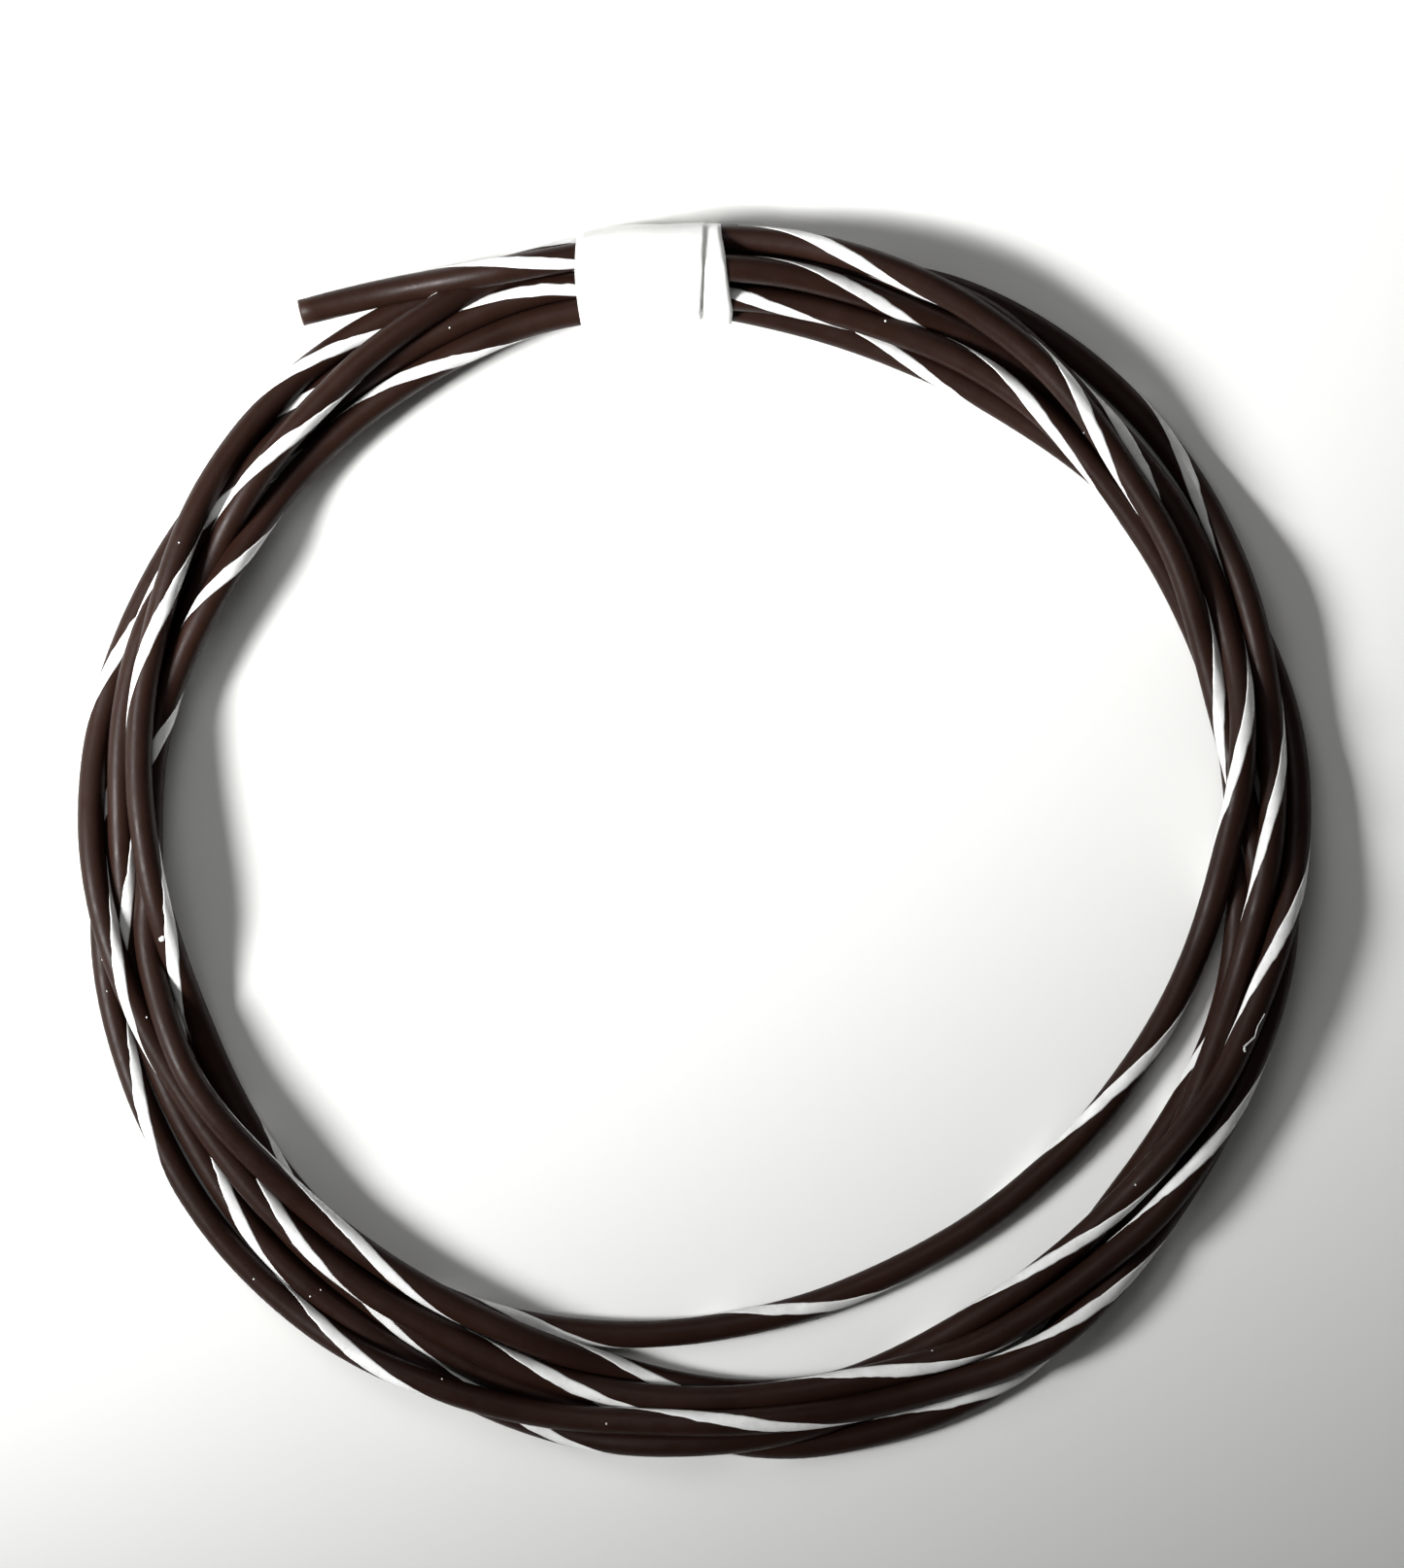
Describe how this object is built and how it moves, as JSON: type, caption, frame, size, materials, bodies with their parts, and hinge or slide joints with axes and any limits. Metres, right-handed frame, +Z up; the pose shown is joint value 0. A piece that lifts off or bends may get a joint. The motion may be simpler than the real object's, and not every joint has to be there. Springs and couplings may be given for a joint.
{
  "type": "coil of striped primary wire",
  "caption": "Hand-wound coil of brown insulated stranded wire with a white spiral tracer, tied with paper tape, both ends cut off.",
  "frame": {"origin": "centre of the coil's bounding box, on the plane it lies on", "axes": "+Z up from the plane the coil lies on, +Y from the centre to the paper tape, +X to the right of the tape"},
  "size_m": [0.1691, 0.1709, 0.0115],
  "materials": {
    "jacket": "dull soft dark brown extruded jacket",
    "tracer": "satin white spiral stripe on the jacket",
    "strands": "bare drawn copper, slightly dulled",
    "paper_tape": "smooth white paper tape, lightly creased"
  },
  "bodies": {
    "root": {"coiled_turns": "jacket", "slack_turn": "jacket", "free_end_jacket": "jacket", "free_end_strand_01": "strands", "free_end_strand_02": "strands", "free_end_strand_03": "strands", "free_end_strand_04": "strands", "free_end_strand_05": "strands", "free_end_strand_06": "strands", "free_end_strand_07": "strands", "free_end_strand_08": "strands", "free_end_strand_09": "strands", "free_end_strand_10": "strands", "free_end_strand_11": "strands", "free_end_strand_12": "strands", "free_end_strand_13": "strands", "free_end_strand_14": "strands", "free_end_strand_15": "strands", "free_end_strand_16": "strands", "free_end_strand_17": "strands", "free_end_strand_18": "strands", "free_end_strand_19": "strands", "tail_jacket": "jacket", "tail_strands": "strands", "paper_tape": "paper_tape"}
  },
  "joints": []
}
